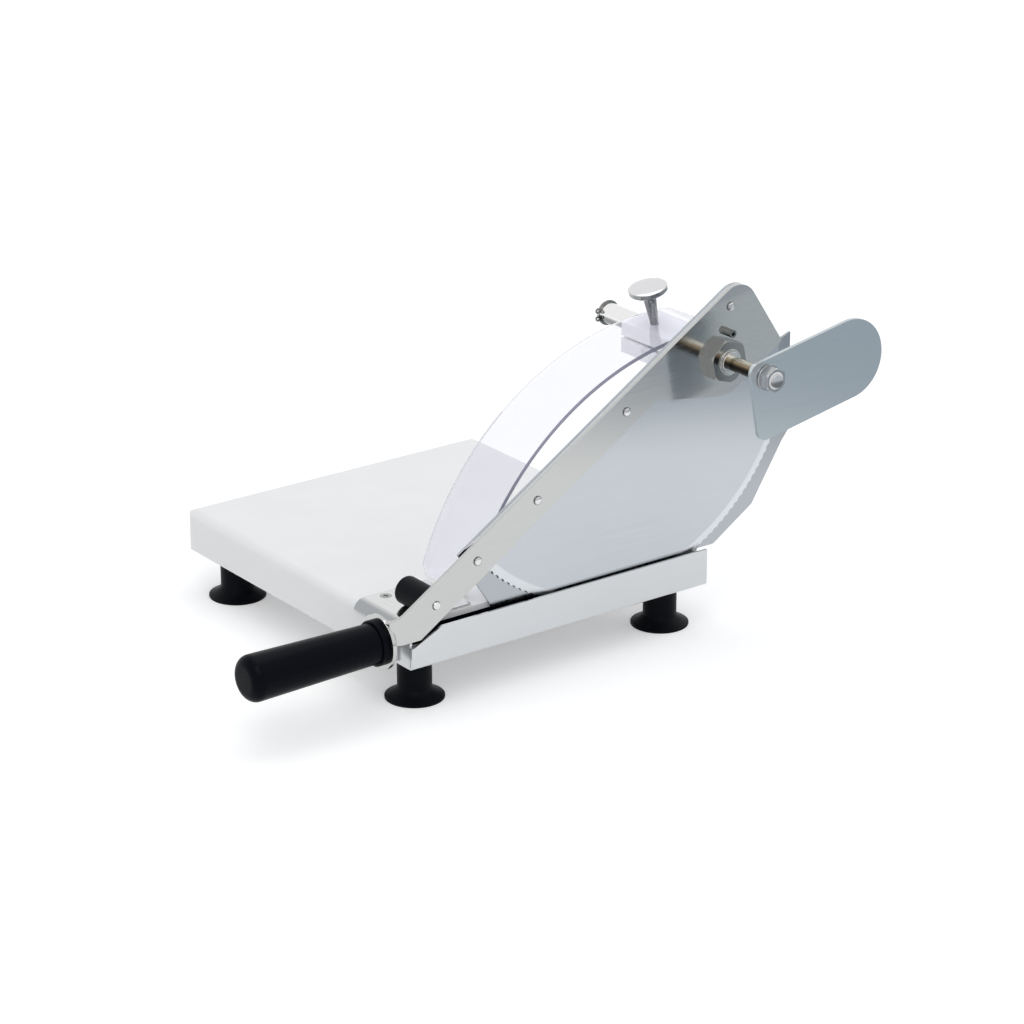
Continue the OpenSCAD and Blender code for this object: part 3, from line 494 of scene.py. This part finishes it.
def piece(name, points, faces, materials, indexes=None):
    """A new object from points in metres; indexes give each face its material."""
    mesh = bpy.data.meshes.new(name)
    mesh.from_pydata([tuple(p) for p in points], [], faces)
    for material in materials:
        mesh.materials.append(material)
    if indexes:
        for polygon, index in zip(mesh.polygons, indexes):
            polygon.material_index = index
    mesh.validate()
    outward = bmesh.new()
    outward.from_mesh(mesh)
    bmesh.ops.recalc_face_normals(outward, faces=outward.faces)
    outward.to_mesh(mesh)
    outward.free()
    smooth_piece(mesh)
    made = bpy.data.objects.new(name, mesh)
    scene.collection.objects.link(made)
    return made


def turned(profile, foot, axis, steps):
    """Points and faces of a solid of revolution: profile is (radius, height) in millimetres."""
    axis = axis.normalized()
    side = axis.orthogonal().normalized()
    other = axis.cross(side)
    points, faces = [], []
    for radius, height in profile:
        for i in range(steps):
            a = 2 * math.pi * i / steps
            out = side * math.cos(a) + other * math.sin(a)
            points.append(foot + out * (radius / PER_M) + axis * (height / PER_M))
    for row in range(len(profile) - 1):
        for i in range(steps):
            j = (i + 1) % steps
            a, b = row * steps, (row + 1) * steps
            faces.append((a + i, a + j, b + j, b + i))
    faces.append(tuple(reversed(range(steps))))
    faces.append(tuple(range((len(profile) - 1) * steps, len(profile) * steps)))
    return points, faces


def joined(name, solids, materials):
    """One piece from several separate solids."""
    points, faces = [], []
    for some_points, some_faces in solids:
        start = len(points)
        points += some_points
        faces += [tuple(start + i for i in f) for f in some_faces]
    return piece(name, points, faces, materials)


# Clear screen: one bent sheet with rounded lower corners and a hole for the clamp stud
SHEET_R, SHEET_T, CORNER_R = 227.0, 3.0, 8.0
SHEET_LOW = 70.0
sheet_low, sheet_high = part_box("screen_sheet")
SHEET_Y0, SHEET_Y1 = ((v.y + OFFSET.y) * PER_M for v in (sheet_low, sheet_high))
SHEET_CENTRE = Vector((PIVOT_X, 0, (sheet_high.z + OFFSET.z) * PER_M - SHEET_R))
SHEET_START = 90 + math.degrees(math.acos((SHEET_LOW - SHEET_CENTRE.z) / SHEET_R))
# past this angle the sheet curls down more tightly, through the angle of the curl
SHEET_TURN, CURL_R, CURL = 88.5, 42.0, 35.0
CORNER_STEPS, ARC_STEPS, CURL_STEPS, ACROSS_STEPS = 10, 90, 14, 12
STUD_IN, STUD_PLACE = 35.0, math.radians(4.7)
HOLE_R, HOLE_BELOW, HOLE_ABOVE, HOLE_STEPS = 3.15, -8.0, 6.0, 40
FACE, EDGE, RIM = 0, 1, 2


def way_out(angle):
    return Vector((math.cos(angle), 0, math.sin(angle)))


def sheet_stations():
    """Points on the outer face with the way out of it, and the distance from the lower edge."""
    found = []
    arc_l = SHEET_R * math.radians(SHEET_START - SHEET_TURN)
    turns = [math.radians(90 * i / CORNER_STEPS) for i in range(CORNER_STEPS + 1)]
    lengths = [CORNER_R * (1 - math.cos(turn)) for turn in turns]
    lengths += [CORNER_R + (arc_l - CORNER_R) * i / ARC_STEPS for i in range(1, ARC_STEPS + 1)]
    for length in lengths:
        out = way_out(math.radians(SHEET_START) - length / SHEET_R)
        found.append((SHEET_CENTRE + out * SHEET_R, out, length))
    curl_centre = SHEET_CENTRE + way_out(math.radians(SHEET_TURN)) * (SHEET_R - CURL_R)
    for i in range(1, CURL_STEPS + 1):
        turn = CURL * i / CURL_STEPS
        out = way_out(math.radians(SHEET_TURN - turn))
        found.append((curl_centre + out * CURL_R, out, arc_l + CURL_R * math.radians(turn)))
    return found


def sheet_points(stations):
    points = []
    for depth in (0.0, SHEET_T):
        for place, out, length in stations:
            gap = max(0.0, CORNER_R - length)
            inset = CORNER_R - math.sqrt(max(0.0, CORNER_R ** 2 - gap ** 2))
            p = place - out * depth
            for i in range(ACROSS_STEPS + 1):
                y = SHEET_Y0 + inset + (SHEET_Y1 - SHEET_Y0 - 2 * inset) * i / ACROSS_STEPS
                points.append(at(p.x, y, p.z))
    return points


def sheet_faces(count):
    """Faces of the sheet and their materials, for a number of stations; its outer points come first."""
    faces, indexes = [], []
    row = ACROSS_STEPS + 1
    half = row * count
    for k in range(count - 1):
        for i in range(ACROSS_STEPS):
            a = k * row + i
            faces.append((a, a + 1, a + row + 1, a + row))
            faces.append((half + a, half + a + row, half + a + row + 1, half + a + 1))
            indexes += [FACE, FACE]
        for i, index in ((0, EDGE), (ACROSS_STEPS, RIM)):
            a = k * row + i
            faces.append((a, a + row, half + a + row, half + a))
            indexes.append(index)
    for k in (0, count - 1):
        for i in range(ACROSS_STEPS):
            a = k * row + i
            faces.append((a, a + 1, half + a + 1, half + a))
            indexes.append(RIM)
    return faces, indexes


def make_sheet():
    stations = sheet_stations()
    faces, indexes = sheet_faces(len(stations))
    materials = [clear_face, clear_edge, clear_rim]
    sheet = piece("screen_clear_sheet", sheet_points(stations), faces, materials, indexes)
    stud = SHEET_CENTRE + way_out(math.radians(90) + STUD_PLACE) * SHEET_R
    foot = at(stud.x, SHEET_Y0 + STUD_IN, stud.z)
    hole = turned([(HOLE_R, HOLE_BELOW), (HOLE_R, HOLE_ABOVE)], foot, KNOB_AXIS, HOLE_STEPS)
    cutter = piece("cutter", *hole, [clear_edge])
    cut = sheet.modifiers.new("stud_hole", "BOOLEAN")
    cut.operation = "DIFFERENCE"
    cut.solver = "EXACT"
    cut.object = cutter
    bpy.context.view_layer.update()
    sheet_cut = sheet.evaluated_get(bpy.context.evaluated_depsgraph_get())
    mesh = bpy.data.meshes.new_from_object(sheet_cut)
    sheet.modifiers.clear()
    sheet.data = mesh
    smooth_piece(mesh)
    bpy.data.objects.remove(cutter)
    return sheet


clear_sheet = make_sheet()
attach(clear_sheet, "screen")
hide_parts("screen_sheet")

# Rivets with domed heads, flush with the back of the blade: places along the arm and below its upper edge
ARM_RISE, TANG_U = 41.3, -252.944
RIVETS = [(27.3, 12.3), (TANG_U * 0.342, 10.7), (TANG_U * 0.716, 8.2), (TANG_U + 8.7, 7.2)]
# radius and height over the back of the blade
RIVET = [(0.4, 0), (1.8, 0), (2, 0.2), (2, 5), (3.45, 5.02), (3.5, 5.25), (3.35, 5.7), (2.8, 6.05),
         (1.9, 6.27), (0.9, 6.36), (0.25, 6.38)]
RIVET_STEPS = 32
TO_FRONT = Vector((0, -1, 0))

rivet_feet = [on_arm(u, ARM_RISE - drop, BLADE_T) for u, drop in RIVETS]
rivet_solids = [turned(RIVET, foot, TO_FRONT, RIVET_STEPS) for foot in rivet_feet]
rivets = joined("rivet_domes", rivet_solids, [rivet_steel])
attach(rivets, "lever")
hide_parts("blade_rivets")


# Studio

FLOOR_HALF = 8.0
PAPER_WHITE, PAPER_GREY = (0.93, 0.93, 0.93), (0.38, 0.415, 0.45)
# In metres: where the mirrored paper turns grey, to the right, and where the glow grows, with its strengths
GREY_FROM, GREY_TO = 0.66, 1.12
GLOW_FROM, GLOW_TO = 0.35, 1.8
GLOW_NEAR, GLOW_FAR = 0.27, 0.52
FELT_WHITE, FELT_LEVEL = (0.97, 0.985, 1, 1), 0.6


def seen_rays(tree, path):
    """1 for rays that the eye, a reflection or clear plastic sends out."""
    total = path.outputs["Is Camera Ray"]
    for other in ("Is Glossy Ray", "Is Transmission Ray"):
        total = reckoned(tree, "MAXIMUM", total, path.outputs[other])
    return total


def light_world():
    """White for the eye and for reflections, a softer level for the light that falls on things."""
    scene.world = bpy.data.worlds.new("studio")
    scene.world.use_nodes = True
    tree = scene.world.node_tree
    tree.nodes.clear()
    seen = new_node(tree, "Background", {"Color": (1, 1, 1, 1), "Strength": 1})
    felt = new_node(tree, "Background", {"Color": FELT_WHITE, "Strength": FELT_LEVEL})
    rays = seen_rays(tree, new_node(tree, "LightPath"))
    both = mixed(tree, rays, felt.outputs["Background"], seen.outputs["Background"])
    new_node(tree, "OutputWorld", {"Surface": both})


def floor_paper():
    """White paper that adds a little of the background's white where the eye or a reflection meets it."""
    material = bpy.data.materials.new("floor_white")
    material.use_nodes = True
    tree = material.node_tree
    tree.nodes.clear()
    path = new_node(tree, "LightPath")
    place = own_place(tree)
    split = new_node(tree, "SeparateXYZ", {"Vector": place})
    # in polished steel, and only there, the paper falls away to grey to the right of the picture
    lean = reckoned(tree, "SUBTRACT", split.outputs["X"], split.outputs["Y"])
    fall = mapped(tree, lean, GREY_FROM, GREY_TO, way="SMOOTHSTEP")
    mirrored = reckoned(tree, "MULTIPLY", fall, path.outputs["Is Glossy Ray"])
    paper = blended(tree, mirrored, PAPER_WHITE, PAPER_GREY)
    # the far paper is farther from the lamps, so it needs more of the background's own white
    distance = new_node(tree, "VectorMath", {0: place}, operation="LENGTH").outputs["Value"]
    level = mapped(tree, distance, GLOW_FROM, GLOW_TO, GLOW_NEAR, GLOW_FAR, way="SMOOTHSTEP")
    matt = new_node(tree, "BsdfDiffuse", {"Color": paper})
    glow = new_node(tree, "Emission", {"Color": paper, "Strength": level})
    none = new_node(tree, "Emission", {"Strength": 0})
    added = mixed(tree, seen_rays(tree, path), none.outputs["Emission"], glow.outputs["Emission"])
    total = new_node(tree, "AddShader", {0: matt.outputs["BSDF"], 1: added})
    new_node(tree, "OutputMaterial", {"Surface": total.outputs["Shader"]})
    return material


def make_floor():
    h = FLOOR_HALF
    mesh = bpy.data.meshes.new("floor")
    mesh.from_pydata([(-h, -h, 0), (h, -h, 0), (h, h, 0), (-h, h, 0)], [], [(0, 1, 2, 3)])
    mesh.materials.append(floor_paper())
    floor = bpy.data.objects.new("floor", mesh)
    scene.collection.objects.link(floor)


MIDDLE = Vector((0, 0, 0.1))


def lamp(name, place, size, watts):
    """A round lamp, with place and size in metres, that looks at the middle of the slicer."""
    data = bpy.data.lights.new(name, "AREA")
    data.shape = "DISK"
    data.size = size
    data.energy = watts
    made = bpy.data.objects.new(name, data)
    scene.collection.objects.link(made)
    made.location = place
    made.rotation_mode = "QUATERNION"
    made.rotation_quaternion = (MIDDLE - Vector(place)).to_track_quat("-Z", "Y")


light_world()
make_floor()
lamp("key", (-0.9, -0.9, 1.5), size=1.3, watts=7.0)
lamp("top", (0.1, 0.3, 1.8), size=1.6, watts=7.0)
lamp("side", (1.4, -0.5, 1.0), size=1.0, watts=3.0)
